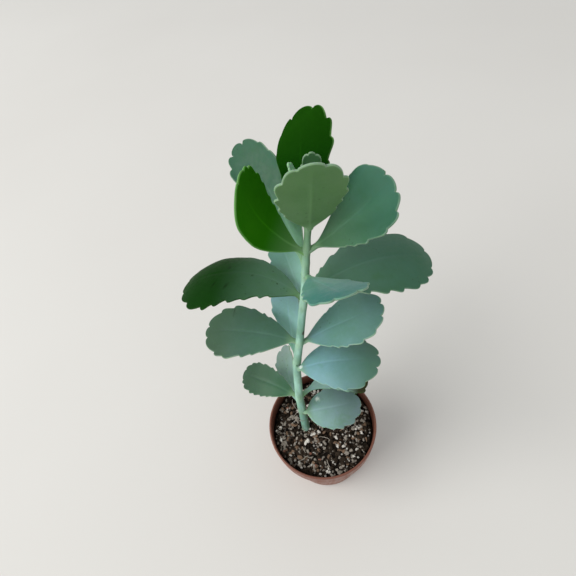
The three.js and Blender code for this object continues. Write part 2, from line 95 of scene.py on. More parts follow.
# Leaves as in the part. near and far are the upper face's colour at the stalk and at the
# tip, set to each leaf's look under its light, so they carry painted light and shade: the
# dark tips of leaf_2_right and leaf_6_left and the dark greens of leaf_8_left and leaf_9_back
# are painted shade. turn the shares of the length between which one changes into the other,
# where they aren't COLOUR_TURN, under the lower face's colour, where it isn't UNDERSIDE. The
# dark and pale marks are small spots on the upper face: distance from the stalk, distance to
# the left, radius; the pale ones on leaf_1_front are a painted highlight.
LEAVES = [
    # leaf_1_front: its two pale marks are a painted highlight
    dict(name="leaf_1_front", height=67, azimuth=-4, seat=-40, rise=9, droop=18, sweep=8,
         length=29, width=23.5, widest=0.54, roll=4, twist=0, cup=-0.3,
         teeth=4, near=(0.208, 0.362, 0.326), far=(0.132, 0.21, 0.212),
         pale_marks=((6.3, 5.9, 1.5), (7.2, 5.4, 0.9))),
    dict(name="leaf_1_back", height=67, azimuth=104, rise=17, droop=26, sweep=-17,
         length=36, width=15.5, widest=0.68, roll=-42, twist=-2, cup=0.45,
         teeth=4, near=(0.239, 0.456, 0.352), far=(0.168, 0.245, 0.218)),
    dict(name="leaf_2_left", height=79.5, azimuth=145, rise=10, droop=44, sweep=-5,
         length=35, width=17.5, widest=0.64, roll=-12, twist=-10, cup=0.1,
         teeth=6, near=(0.049, 0.138, 0.074), far=(0.022, 0.068, 0.032)),
    # leaf_2_right: its dark olive far colour is painted shade under the leaves above it
    dict(name="leaf_2_right", height=79.5, azimuth=22, rise=16, droop=54, sweep=-16,
         length=38.5, width=25, widest=0.77, roll=3, twist=0, cup=-0.14,
         teeth=5, near=(0.262, 0.431, 0.38), far=(0.045, 0.05, 0.022), turn=(0.5, 0.76)),
    dict(name="leaf_3_front", height=109, azimuth=-2, seat=-80, rise=19, droop=20, sweep=-18,
         length=37, width=28, widest=0.62, roll=0, twist=-8, cup=-0.35,
         teeth=4, near=(0.19, 0.376, 0.419), far=(0.07, 0.165, 0.112),
         pale_marks=((0.8, 0.2, 1.1),)),
    dict(name="leaf_3_back", height=109, azimuth=89, rise=36, droop=0, sweep=-6,
         length=36, width=21, widest=0.7, roll=-42, twist=-4, cup=0.45,
         teeth=4, near=(0.256, 0.523, 0.413), far=(0.178, 0.349, 0.404)),
    dict(name="leaf_4_left", height=123, azimuth=156, rise=11, droop=27, sweep=8,
         length=43, width=27, widest=0.66, roll=0, twist=-5, cup=0,
         teeth=5, near=(0.088, 0.195, 0.14), far=(0.037, 0.09, 0.046),
         dark_marks=((30, -10.5, 0.8), (30.2, -8.8, 0.7), (30.3, -7.1, 0.9), (31.8, -3.7, 0.6))),
    dict(name="leaf_4_right", height=123, azimuth=1, rise=30, droop=5, sweep=-7,
         length=38, width=26.5, widest=0.66, roll=-3, twist=-3, cup=0,
         teeth=5, near=(0.125, 0.27, 0.254), far=(0.105, 0.23, 0.195)),
    dict(name="leaf_5_back", height=146, azimuth=94, rise=5, droop=22, sweep=6,
         length=46, width=17.5, widest=0.62, roll=-40, twist=2, cup=0.4,
         teeth=5, near=(0.226, 0.428, 0.356), far=(0.079, 0.196, 0.146), turn=(0.1, 0.6)),
    # leaf_6_left: its darkening towards the tip is partly painted shade
    dict(name="leaf_6_left", height=150, azimuth=146, rise=38, droop=76, sweep=36,
         length=53, width=36.5, widest=0.65, roll=17, twist=2, cup=-0.4, lift=1.5,
         teeth=7, left_teeth=1.2, right_teeth=0.6, smooth=0.2,
         near=(0.112, 0.23, 0.148), far=(0.005, 0.036, 0.003), turn=(0.05, 0.66),
         dark_marks=((30.3, -3.2, 0.8), (23.6, -3.6, 0.9), (28.9, 8.7, 1.1),
                     (27.6, 5.5, 0.9), (34.3, 6.8, 0.7), (20, 1.4, 0.6))),
    dict(name="leaf_6_right", height=151, azimuth=16, rise=24, droop=60, sweep=-11,
         length=57, width=33, widest=0.62, roll=-6, twist=11, cup=-0.28,
         teeth=8, smooth=0.12, near=(0.066, 0.161, 0.098), far=(0.033, 0.132, 0.073),
         dark_marks=((9.1, 9.5, 1.5), (7, 8, 1.6))),
    dict(name="leaf_7_front", height=162.5, azimuth=-71, rise=31, droop=-14, sweep=2,
         length=36, width=21.5, widest=0.66, roll=-12, twist=5, cup=-0.14,
         teeth=4, near=(0.079, 0.253, 0.185), far=(0.017, 0.16, 0.128)),
    dict(name="leaf_7_back", height=167, azimuth=105, rise=46, droop=36, sweep=14,
         length=52.5, width=20, widest=0.66, roll=-38, twist=6, cup=0.45,
         teeth=6, right_teeth=0.4, near=(0.164, 0.354, 0.224), far=(0.018, 0.093, 0.044),
         turn=(0.1, 0.6)),
    # leaf_8_left: its deep dark green is painted shade
    dict(name="leaf_8_left", height=173, azimuth=158, rise=29, droop=-70, sweep=6,
         length=39, width=26, widest=0.67, roll=-3, twist=0, cup=0.18,
         teeth=6, left_teeth=0.1, near=(0.088, 0.232, 0.064), far=(0.024, 0.165, 0.003),
         turn=(0.08, 0.4)),
    dict(name="leaf_8_right", height=174, azimuth=-4, rise=34, droop=-19, sweep=6,
         length=36.7, width=27.6, widest=0.71, roll=6, twist=8, cup=0.2,
         teeth=5, left_teeth=0.2, near=(0.073, 0.177, 0.086), far=(0.028, 0.126, 0.079)),
    dict(name="leaf_9_front", height=185.3, azimuth=-85, rise=72, droop=3, sweep=-1,
         length=36.7, width=22, widest=0.6, roll=-6, twist=1, cup=0,
         teeth=4, near=(0.09, 0.2, 0.12), far=(0.09, 0.2, 0.12), under=(0.088, 0.2, 0.067)),
    # leaf_9_back: its near-black green is painted shade
    dict(name="leaf_9_back", height=184, azimuth=85, rise=54, droop=32, sweep=-10,
         length=38.5, width=25.5, widest=0.68, roll=-31, twist=-7, cup=-0.18,
         teeth=4, left_teeth=0.3, right_teeth=1.4,
         near=(0.001, 0.024, 0.001), far=(0.007, 0.046, 0.002)),
    dict(name="leaf_10_left", height=193, azimuth=172, rise=95, droop=24, sweep=0,
         length=16, width=7, widest=0.5, roll=-6, twist=0, cup=0.1,
         teeth=3, near=(0.19, 0.4, 0.2), far=(0.19, 0.4, 0.22), under=(0.19, 0.4, 0.2)),
    dict(name="leaf_10_right", height=193, azimuth=50, rise=72, droop=-20, sweep=10,
         length=16, width=7.5, widest=0.62, roll=10, twist=6, cup=0,
         teeth=3, near=(0.048, 0.148, 0.039), far=(0.042, 0.121, 0.043)),
]
FRESH_LEAVES = ("leaf_8_left", "leaf_9_back")  # hardly any bloom
RUBBED_LEAVES = ("leaf_6_left", "leaf_2_right")  # the bloom partly rubbed off

# ---------------------------------------------------------------- camera

CAMERA_PLACE = (-0.00454, -0.08021, 0.28717)
CAMERA_RIGHT = (0.98195, -0.15106, -0.11382)
CAMERA_UP = (0.18914, 0.78424, 0.59093)
CAMERA_LENS = 26.31
SENSOR_WIDTH = 36


def place_camera():
    """Looks steeply down on the plant from in front of it."""
    right, up = Vector(CAMERA_RIGHT).normalized(), Vector(CAMERA_UP).normalized()
    back = right.cross(up)
    turn = Matrix((right, up, back)).transposed()
    data = bpy.data.cameras.new("camera")
    data.sensor_fit = "HORIZONTAL"
    data.sensor_width = SENSOR_WIDTH
    data.lens = CAMERA_LENS
    data.clip_start = 0.01
    camera = bpy.data.objects.new("camera", data)
    camera.matrix_world = Matrix.Translation(CAMERA_PLACE) @ turn.to_4x4()
    bpy.context.collection.objects.link(camera)
    bpy.context.scene.camera = camera


place_camera()

# ---------------------------------------------------------------- mesh helpers


def new_piece(name, verts, faces, attributes=None):
    """A smooth mesh object from vertices in millimetres; doubled vertices are merged."""
    verts = np.asarray(verts, float)
    keys = np.round(verts * 2000).astype(np.int64)
    _, first, where = np.unique(keys, axis=0, return_index=True, return_inverse=True)
    where = where.reshape(-1)
    kept = []
    for face in faces:
        loop = [int(where[i]) for i in face]
        loop = [v for i, v in enumerate(loop) if v != loop[i - 1]]
        if len(set(loop)) == len(loop) > 2:
            kept.append(loop)
    mesh = bpy.data.meshes.new(name)
    mesh.from_pydata((verts[first] * MM).tolist(), [], kept)
    for key, values in (attributes or {}).items():
        values = np.asarray(values, float)[first]
        colour = values.ndim == 2
        layer = mesh.attributes.new(key, "FLOAT_COLOR" if colour else "FLOAT", "POINT")
        if colour:
            values = np.hstack([values, np.ones((len(values), 1))])
        layer.data.foreach_set("color" if colour else "value", values.astype(np.float32).ravel())
    mesh.polygons.foreach_set("use_smooth", [True] * len(mesh.polygons))
    mesh.update()
    piece = bpy.data.objects.new(name, mesh)
    bpy.context.collection.objects.link(piece)
    return piece


def baked(piece):
    """The piece with its modifiers applied, as a plain mesh object of the same name."""
    graph = bpy.context.evaluated_depsgraph_get()
    mesh = bpy.data.meshes.new_from_object(piece.evaluated_get(graph))
    piece.modifiers.clear()
    old, name = piece.data, piece.data.name
    piece.data = mesh
    bpy.data.meshes.remove(old)
    mesh.name = name
    return piece


def hand_over(piece, slot, *nodes):
    """Gives a finished piece to the frame: its body and the nodes it stands for; slot is not used."""
    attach(piece, "root")
    if nodes:
        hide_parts(*nodes)


def ring(radius, height, turn):
    """Points round the pot's axis."""
    return np.stack([radius * np.cos(turn), radius * np.sin(turn), height + 0 * turn], -1)


def ring_corners(rings, sides):
    """The four corners of each cell between one ring of points and the next."""
    for i in range(rings - 1):
        for k in range(sides):
            a, b = i * sides + k, i * sides + (k + 1) % sides
            yield a, b, b + sides, a + sides


def smoothstep(low, high, value):
    t = np.clip((value - low) / (high - low), 0, 1)
    return t * t * (3 - 2 * t)


# ---------------------------------------------------------------- node helpers


def feed(tree, socket, value):
    """Gives an input a plain value, another node's socket or another node's first output."""
    if isinstance(value, bpy.types.Node):
        value = value.outputs[0]
    if isinstance(value, bpy.types.NodeSocket):
        tree.links.new(value, socket)
    elif socket.type == "RGBA":
        socket.default_value = (*value, 1)
    else:
        socket.default_value = value


def add_node(tree, kind, inputs=None, **settings):
    """Adds a node with these settings and feeds its inputs."""
    made = tree.nodes.new(kind)
    for key, value in settings.items():
        setattr(made, key, value)
    for key, value in (inputs or {}).items():
        feed(tree, made.inputs[key], value)
    return made


class Finish:
    """A material's node tree with short calls for the nodes that the finishes share."""

    def __init__(self, name):
        self.material = bpy.data.materials.new(name)
        self.material.use_nodes = True
        self.tree = self.material.node_tree
        self.shader = self.tree.nodes["Principled BSDF"]
        self.object_place = self.tree.nodes.new("ShaderNodeTexCoord").outputs["Object"]

    def node(self, kind, inputs=None, **settings):
        return add_node(self.tree, kind, inputs, **settings)

    def attribute(self, name, colour=False):
        made = self.node("ShaderNodeAttribute", attribute_name=name)
        return made.outputs["Color" if colour else "Fac"]

    def noise(self, scale, detail=3, rough=0.5, stretch=None):
        place = self.object_place
        if stretch:
            place = self.node("ShaderNodeMapping", {"Vector": place, "Scale": stretch}).outputs[0]
        inputs = {"Vector": place, "Scale": scale, "Detail": detail, "Roughness": rough}
        return self.node("ShaderNodeTexNoise", inputs).outputs["Fac"]

    def cells(self, scale):
        inputs = {"Vector": self.object_place, "Scale": scale}
        return self.node("ShaderNodeTexVoronoi", inputs).outputs["Distance"]

    def ramp(self, value, low, high, start=0, end=1):
        inputs = {0: value, 1: low, 2: high, 3: start, 4: end}
        made = self.node("ShaderNodeMapRange", inputs, interpolation_type="SMOOTHSTEP")
        return made.outputs[0]

    def math(self, operation, a, b=0):
        return self.node("ShaderNodeMath", {0: a, 1: b}, operation=operation).outputs[0]

    def times(self, a, b):
        return self.math("MULTIPLY", a, b)

    def mix(self, share, a, b, blend="MIX"):
        settings = dict(data_type="RGBA", blend_type=blend)
        return self.node("ShaderNodeMix", {0: share, 6: a, 7: b}, **settings).outputs[2]

    def bump(self, height, distance, strength):
        inputs = {"Height": height, "Distance": distance, "Strength": strength}
        return self.node("ShaderNodeBump", inputs).outputs["Normal"]

    def set(self, **sockets):
        for key, value in sockets.items():
            feed(self.tree, self.shader.inputs[key.replace("_", " ")], value)
        return self.material


# ---------------------------------------------------------------- finishes


def leaf_finish(name, rib, bloom, gloss, edge_colour=(0.3, 0.42, 0.3), freckles=0.45):
    """Fleshy green blade; bloom is how strongly its powdery wax shows, rib how pale its
    midrib is, gloss how much the skin mirrors, freckles how dark its small marks are."""
    f = Finish(name)
    along = f.attribute("along")
    from_rib = f.attribute("from_rib")
    from_margin = f.attribute("from_margin")
    vein = f.attribute("vein")
    tone = f.attribute("tone", colour=True)

    def tinted(colour):
        return f.mix(1.0, tone, colour, "MULTIPLY")

    cloudy = f.noise(48, 4, 0.55)
    fine = f.noise(520, 3, 0.6)
    dull, clear = tinted((0.9, 0.94, 0.86)), tinted((1.12, 1.06, 1.16))
    colour = f.mix(f.ramp(cloudy, 0.35, 0.68, 0, 0.9), dull, clear)
    rubbed = f.ramp(f.noise(85, 5, 0.65), 0.57, 0.72, 0, 0.7)
    colour = f.mix(rubbed, colour, tinted((0.8, 0.9, 0.68)))
    colour = f.mix(f.ramp(fine, 0.4, 0.8, 0, bloom), colour, tinted((1.5, 1.35, 1.6)))

    side_vein = f.math("ABSOLUTE", f.math("SUBTRACT", f.math("FRACT", vein), 0.5))
    side_line = f.ramp(side_vein, 0.0, 0.1, 1, 0)
    fade = f.times(f.ramp(from_margin, 2.0, 7.0), f.ramp(along, 0.15, 0.35))
    side_line = f.times(side_line, fade)
    rib_line = f.times(f.ramp(from_rib, 0.1, 0.75, 1, 0), f.ramp(along, 0.85, 0.4))
    colour = f.mix(f.times(side_line, 0.3 * rib), colour, tinted((1.35, 1.3, 1.3)))
    colour = f.mix(f.times(rib_line, rib), colour, tinted((1.9, 1.6, 1.9)))

    stalk = f.times(f.ramp(along, 0.13, 0.0), 0.7)
    colour = f.mix(stalk, colour, (0.19, 0.34, 0.17))
    uneven = f.ramp(f.noise(110, 2), 0.3, 0.6, 0.15, 0.6)
    edge = f.times(f.ramp(from_margin, 0.5, 0.05), uneven)
    colour = f.mix(edge, colour, edge_colour)
    patchy = f.ramp(f.noise(60, 2), 0.52, 0.62)
    speck = f.times(f.ramp(f.cells(420), 0.22, 0.1), patchy)
    colour = f.mix(f.times(speck, freckles), colour, tinted((0.4, 0.38, 0.28)))

    dark_mark = f.times(f.attribute("dark_mark"), 0.75)
    colour = f.mix(dark_mark, colour, tinted((0.3, 0.28, 0.2)))
    # pale marks: small pale spots, and on leaf_1_front a painted highlight
    pale_mark = f.times(f.attribute("pale_mark"), 0.95)
    colour = f.mix(pale_mark, colour, (0.74, 0.86, 0.8))

    relief = f.math("ADD", f.times(fine, 0.3), f.times(cloudy, 0.7))
    return f.set(
        Base_Color=colour,
        Roughness=f.ramp(fine, 0.3, 0.7, 0.42, 0.56),
        Specular_IOR_Level=gloss,
        Subsurface_Weight=0.3,
        Subsurface_Radius=(0.5, 1.0, 0.25),
        Subsurface_Scale=0.0014,
        Sheen_Weight=bloom * 0.6,
        Sheen_Roughness=0.4,
        Normal=f.bump(relief, 0.0005, 0.2),
    )


def stem_skin():
    """Mint skin with fine lengthwise lines, yellower where the leaves sit; the right side,
    away from the lamp, is painted darker green as painted shade."""
    f = Finish("stem_skin")
    joint = f.attribute("joint")
    streaks = f.noise(260, 4, 0.6, stretch=(1, 1, 0.12))
    blotches = f.noise(140, 3)
    colour = f.mix(f.ramp(streaks, 0.3, 0.7), (0.18, 0.38, 0.3), (0.36, 0.62, 0.52))
    colour = f.mix(f.attribute("young"), colour, (0.15, 0.29, 0.12))
    colour = f.mix(f.ramp(blotches, 0.45, 0.7, 0, 0.4), colour, (0.15, 0.28, 0.14))
    colour = f.mix(f.times(joint, 0.3), colour, (0.34, 0.48, 0.26))
    # painted shade: the skin turns darker green on its right side, which faces away from the lamp
    facing = f.node("ShaderNodeTexCoord").outputs["Normal"]
    sideways = f.node("ShaderNodeSeparateXYZ", {0: facing}).outputs["X"]
    colour = f.mix(f.ramp(sideways, 0.0, 0.95, 0, 0.8), colour, (0.1, 0.19, 0.1))
    corky = f.times(f.ramp(f.noise(300, 4), 0.55, 0.68), f.attribute("woody"))
    colour = f.mix(f.times(corky, 0.6), colour, (0.2, 0.16, 0.09))
    scar = (SCAR_PLACE * MM).tolist()
    from_scar = f.node("ShaderNodeVectorMath", {0: f.object_place, 1: scar}, operation="DISTANCE")
    scar_mark = f.ramp(from_scar.outputs["Value"], 0.0018, 0.0011, 0, 0.9)
    colour = f.mix(scar_mark, colour, (0.07, 0.05, 0.03))
    return f.set(
        Base_Color=colour,
        Roughness=f.ramp(streaks, 0.3, 0.7, 0.42, 0.56),
        Specular_IOR_Level=0.3,
        Subsurface_Weight=0.15,
        Subsurface_Radius=(0.5, 1.0, 0.3),
        Subsurface_Scale=0.001,
        Normal=f.bump(streaks, 0.0004, 0.3),
    )


def pot_plastic():
    """Terracotta-coloured plastic: fine moulding grain, a darker rim, and painted shade that darkens
    the inner wall below the rim.
    """
    f = Finish("terracotta_plastic")
    inside = f.attribute("inside")
    rim = f.attribute("rim")
    broad = f.noise(28, 4, 0.55)
    grain = f.noise(900, 2, 0.5)
    colour = f.mix(f.ramp(broad, 0.3, 0.7), (0.187, 0.06, 0.036), (0.265, 0.097, 0.06))
    haze = f.times(f.ramp(f.noise(70, 5, 0.7), 0.42, 0.72), 0.35)
    colour = f.mix(haze, colour, (0.315, 0.166, 0.116))
    # the rim is made darker all round
    colour = f.mix(f.times(rim, 0.5), colour, (0.14, 0.06, 0.042))
    # painted shade: the inner wall darkens to near black below the rim
    painted_inner_shade = f.times(inside, f.ramp(f.noise(130, 6, 0.7), 0.3, 0.62, 0.75, 0.97))
    colour = f.mix(painted_inner_shade, colour, (0.02, 0.008, 0.006))
    scuffs = f.noise(500, 4, 0.6, stretch=(1, 1, 0.06))
    return f.set(
        Base_Color=colour,
        Specular_IOR_Level=0.35,
        Roughness=f.ramp(scuffs, 0.3, 0.75, 0.36, 0.56),
        Normal=f.bump(f.math("ADD", f.times(grain, 0.25), scuffs), 0.0003, 0.16),
    )


def potting_soil():
    """Fine soil seen between the grains: near black, its own dark colour with painted shade of the
    gaps, and a little warm brown.
    """
    f = Finish("potting_soil")
    clods = f.noise(300, 6, 0.7)
    # near black: the soil's dark colour with the shade in the gaps between grains painted in
    colour = f.mix(f.ramp(clods, 0.35, 0.7), (0.002, 0.0016, 0.0013), (0.02, 0.015, 0.011))
    warm = f.ramp(f.noise(120, 3), 0.55, 0.7, 0, 0.4)
    colour = f.mix(warm, colour, (0.05, 0.027, 0.014))
    return f.set(
        Base_Color=colour,
        Specular_IOR_Level=0.04,
        Roughness=f.ramp(clods, 0.3, 0.7, 0.75, 0.95),
        Normal=f.bump(clods, 0.001, 0.8),
    )


def crumb_finish(name, dark, pale, wetness=0.2):
    """Grains whose colour changes from one to the next and within each."""
    f = Finish(name)
    grain = f.attribute("grain_tone")
    mottled = f.noise(500, 4, 0.65)
    share = f.math("ADD", f.times(grain, 0.65), f.times(mottled, 0.45))
    colour = f.mix(f.ramp(share, 0.15, 0.95), dark, pale)
    return f.set(
        Base_Color=colour,
        Specular_IOR_Level=wetness,
        Roughness=f.ramp(mottled, 0.3, 0.7, 0.65, 0.9),
        Normal=f.bump(mottled, 0.0005, 0.6),
    )


# ---------------------------------------------------------------- stem


def draw(i, j):
    """Repeatable value in -1..1, the same rule as in the part."""
    value = sin(i * 127.1 + j * 311.7 + 5.3) * 43758.5453
    return 2 * (value - np.floor(value)) - 1


WANDER_HEIGHTS, WANDER_PLACES = zip(*STEM_WANDER)
NODE_HEIGHTS = np.array(sorted({leaf["height"] for leaf in LEAVES}))


def stem_centre(height):
    away = tan(radians(STEM_LEAN)) * (height - SOIL_TOP) + 0.7
    return np.array([np.interp(height, WANDER_HEIGHTS, WANDER_PLACES), away, height])


def swelling(height):
    return float(np.exp(-(((height - NODE_HEIGHTS) / NODE_LENGTH) ** 2)).max())


def stem_radius(height):
    share = (height - STEM_FOOT) / (STEM_TOP - STEM_FOOT)
    plain = STEM_FOOT_RADIUS + (STEM_TOP_RADIUS - STEM_FOOT_RADIUS) * np.clip(share, 0, 1) ** 1.6
    return plain + NODE_SWELLING * swelling(height) * share


SCAR_HEIGHT = 130  # of the scar that a dropped leaf has left on the stem's right side
SCAR_TURN = -0.5
SCAR_WAY = np.array([cos(SCAR_TURN), sin(SCAR_TURN), 0])
SCAR_PLACE = stem_centre(SCAR_HEIGHT) + stem_radius(SCAR_HEIGHT) * SCAR_WAY


def new_tree(name, **inputs):
    """A Geometry Nodes tree, the sockets of its inputs and the socket of its result."""
    tree = bpy.data.node_groups.new(name, "GeometryNodeTree")
    tree.interface.new_socket("Geometry", in_out="INPUT", socket_type="NodeSocketGeometry")
    tree.interface.new_socket("Geometry", in_out="OUTPUT", socket_type="NodeSocketGeometry")
    for key, kind in inputs.items():
        tree.interface.new_socket(key, in_out="INPUT", socket_type="NodeSocket" + kind)
    given = tree.nodes.new("NodeGroupInput").outputs
    result = tree.nodes.new("NodeGroupOutput").inputs["Geometry"]
    return tree, given, result


def run_tree(piece, tree, **values):
    """Runs the tree on the piece with these inputs and keeps the result as a plain mesh."""
    modifier = piece.modifiers.new(tree.name, "NODES")
    modifier.node_group = tree
    sockets = {s.name: s.identifier for s in tree.interface.items_tree if s.in_out == "INPUT"}
    for key, value in values.items():
        modifier[sockets[key]] = value
    piece = baked(piece)
    piece.data.polygons.foreach_set("material_index", [0] * len(piece.data.polygons))
    piece.data.materials.clear()
    piece.data.materials.append(values["Material"])
    return piece


def close_tree(tree, geometry, material, result):
    """Ends a tree with real geometry in its material."""
    whole = add_node(tree, "GeometryNodeRealizeInstances", {"Geometry": geometry})
    dressed = add_node(tree, "GeometryNodeSetMaterial", {"Geometry": whole, "Material": material})
    tree.links.new(dressed.outputs[0], result)
    return tree


def skin_along_path_tree():
    """Turns a line with a girth attribute into a closed tube with slight unevenness."""
    tree, given, result = new_tree(
        "skin_along_path", Sides="Int", Unevenness="Float", Material="Material")
    curve = add_node(tree, "GeometryNodeMeshToCurve", {"Mesh": given["Geometry"]})
    girth = add_node(tree, "GeometryNodeInputNamedAttribute", {"Name": "girth"}, data_type="FLOAT")
    circle = add_node(tree, "GeometryNodeCurvePrimitiveCircle", {
        "Resolution": given["Sides"], "Radius": 1.0})
    tube = add_node(tree, "GeometryNodeCurveToMesh", {
        "Curve": curve, "Profile Curve": circle,
        "Scale": girth.outputs["Attribute"], "Fill Caps": True})
    noise = add_node(tree, "ShaderNodeTexNoise", {"Scale": 180.0, "Detail": 2.0})
    centred = add_node(tree, "ShaderNodeMath", {0: noise, 1: 0.5}, operation="SUBTRACT")
    amount = add_node(tree, "ShaderNodeMath", {0: centred, 1: given["Unevenness"]},
                      operation="MULTIPLY")
    normal = add_node(tree, "GeometryNodeInputNormal")
    push = add_node(tree, "ShaderNodeVectorMath", {0: normal, "Scale": amount}, operation="SCALE")
    moved = add_node(tree, "GeometryNodeSetPosition", {"Geometry": tube, "Offset": push})
    smooth = add_node(tree, "GeometryNodeSetShadeSmooth", {"Geometry": moved})
    return close_tree(tree, smooth, given["Material"], result)


SKIN_TREE = skin_along_path_tree()


def tube_piece(name, points, radii, material, sides, unevenness=0.0, **attributes):
    """A closed tube through points (mm) with a radius (mm) at each."""
    points = np.asarray(points, float)
    mesh = bpy.data.meshes.new(name)
    mesh.from_pydata((points * MM).tolist(), [(i, i + 1) for i in range(len(points) - 1)], [])
    values = {"girth": np.asarray(radii, float) * MM, **attributes}
    for key, row in values.items():
        layer = mesh.attributes.new(key, "FLOAT", "POINT")
        layer.data.foreach_set("value", np.asarray(row, np.float32))
    piece = bpy.data.objects.new(name, mesh)
    bpy.context.collection.objects.link(piece)
    return run_tree(piece, SKIN_TREE, Sides=sides, Unevenness=unevenness * MM, Material=material)


STEM_STEPS = 240
STEM_SIDES = 28
STEM_UNEVENNESS = 0.14
# the domed growing tip: rise above the stem's top, share of the radius there
GROWING_TIP = [(0.5, 0.93), (1.1, 0.75), (1.7, 0.45), (2.1, 0.12)]


def make_stem(material):
    heights = np.linspace(STEM_FOOT, STEM_TOP, STEM_STEPS)
    radii = [stem_radius(h) for h in heights]
    for rise, share in GROWING_TIP:
        heights = np.append(heights, STEM_TOP + rise)
        radii.append(STEM_TOP_RADIUS * share)
    stem = tube_piece(
        "stem_skin", [stem_centre(h) for h in heights], radii, material,
        STEM_SIDES, STEM_UNEVENNESS, joint=[swelling(h) for h in heights],
        woody=smoothstep(95, 50, heights), young=0.7 * smoothstep(155, 180, heights))
    hand_over(stem, "stem_green", "stem")


# ---------------------------------------------------------------- leaves


def half_width(leaf, share):
    """Half the width of the smooth outline at a share of the leaf's length."""
    rest = np.clip(1 - share, 0, 1)
    power = 0.5 * leaf["widest"] / (1 - leaf["widest"])
    top = leaf["widest"] ** power * sqrt(1 - leaf["widest"])
    blade = leaf["width"] / 2 * np.clip(share, 0, 1) ** power * np.sqrt(rest) / top
    return np.cbrt(blade ** 3 + (STALK_HALF_WIDTH * np.sqrt(rest)) ** 3)


FOOT_STEPS = 6
FOOT_DROP = 1.3  # how far the stalk's foot runs down inside the stem


def midrib(leaf):
    """Places, leftward and upward directions along the midrib, as in the part, with the
    stalk's foot led on into the stem at negative shares."""
    seat = radians(leaf.get("seat", leaf["azimuth"]))
    sideways = abs(sin(radians(leaf["azimuth"]) - seat))
    upwards = abs(sin(radians(leaf["rise"])))
    clear = (stem_radius(leaf["height"]) + GAP + STALK_HALF_WIDTH * sideways
             + STALK_HALF_THICKNESS * upwards)
    start = stem_centre(leaf["height"]) + clear * np.array([cos(seat), sin(seat), 0])
    share = np.arange(BLADE_STEPS + 5) / BLADE_STEPS
    slope = np.radians(leaf["rise"] - leaf["droop"] * share)
    heading = np.radians(leaf["azimuth"] + leaf["sweep"] * share)
    flat = np.cos(slope)
    along = np.stack([flat * np.cos(heading), flat * np.sin(heading), np.sin(slope)], -1)
    level = np.stack([-np.sin(heading), np.cos(heading), 0 * heading], -1)
    tilt = np.radians(leaf["roll"] + leaf["twist"] * share)[:, None]
    across = level * np.cos(tilt) + np.cross(along, level) * np.sin(tilt)
    up = np.cross(along, across)
    steps = (along[1:] + along[:-1]) / 2 * leaf["length"] / BLADE_STEPS
    place = start + np.vstack([np.zeros(3), np.cumsum(steps, axis=0)])

    foot = stem_centre(leaf["height"] - FOOT_DROP)
    reach = np.linalg.norm(start - foot)
    turn = start - along[0] * reach / 2
    run = np.arange(FOOT_STEPS)[:, None] / FOOT_STEPS
    foot_places = foot * (1 - run) ** 2 + 2 * turn * run * (1 - run) + start * run ** 2
    share = np.concatenate([(run[:, 0] - 1) * reach / leaf["length"], share])
    place = np.vstack([foot_places, place])
    across = np.vstack([np.repeat(across[:1], FOOT_STEPS, 0), across])
    up = np.vstack([np.repeat(up[:1], FOOT_STEPS, 0), up])
    return share, place, across, up


def blade_surface(leaf, frames, share, sideways):
    """Middle surface and its upward direction at arrays of share and distance to the left."""
    key = frames[0]

    def read(rows):
        return np.stack([np.interp(share, key, rows[:, axis]) for axis in range(3)], -1)

    place, across, up = (read(rows) for rows in frames[1:])
    across /= np.linalg.norm(across, axis=-1, keepdims=True)
    up /= np.linalg.norm(up, axis=-1, keepdims=True)
    bend = 2 * leaf["cup"] / leaf["width"] or 1e-6
    angle = (bend * sideways)[..., None]
    out = np.clip(2 * sideways / leaf["width"], 0, None) ** 2
    arch = np.sin(pi * np.clip(share / WAVE_SHARE, 0, 1)) ** 2
    wave = (leaf.get("lift", 0) * arch * out)[..., None]
    point = place + across * np.sin(angle) / bend + up * ((1 - np.cos(angle)) / bend + wave)
    return point, up * np.cos(angle) - across * np.sin(angle)


def smooth_outline(leaf, steps):
    """Places on the smooth outline, closer together towards the tip: along and out."""
    share = 1 - (1 - np.arange(steps + 1) / steps) ** 2
    return share * leaf["length"], half_width(leaf, share)


def outline_reader(leaf):
    """Reads the smooth outline at a share of the way along it."""
    x, y = smooth_outline(leaf, 240)
    travelled = np.concatenate([[0], np.cumsum(np.hypot(np.diff(x), np.diff(y)))])
    travelled /= travelled[-1]
    return lambda at: np.array([np.interp(at, travelled, x), np.interp(at, travelled, y)])


SMOOTH_ROWS = 22
ROWS_PER_TOOTH = 11


def between(low, high, share):
    return low + (high - low) * share


def smooth_share(leaf):
    return leaf.get("smooth", TOOTH_START)


def notches(leaf, side):
    """Shares of the margin at which its teeth meet; the last tooth has its middle at the tip."""
    ends = []
    for tooth in range(leaf["teeth"] + 1):
        shift = SPACING_UNEVENNESS * draw(tooth + 40 * side, leaf["length"]) if tooth > 0 else 0
        share = ((tooth + shift) / (leaf["teeth"] + 0.5)) ** TOOTH_GROWTH
        ends.append(between(smooth_share(leaf), 1, share))
    return ends + [1]


def tooth_depths(leaf, side):
    longest = leaf["length"] * (1 - smooth_share(leaf)) / (leaf["teeth"] + 0.5)
    depths = []
    for tooth in range(leaf["teeth"] + 1):
        shared = tooth == leaf["teeth"]
        chance = abs(draw(tooth + (0 if shared else 20 * side), leaf["length"]))
        own = 1 if shared else leaf.get("left_teeth" if side > 0 else "right_teeth", 1)
        grown = between(FIRST_TOOTH_DEPTH, 1, tooth / leaf["teeth"])
        depths.append(TOOTH_DEPTH * longest * grown * own * (1 - DEPTH_UNEVENNESS * chance))
    return depths


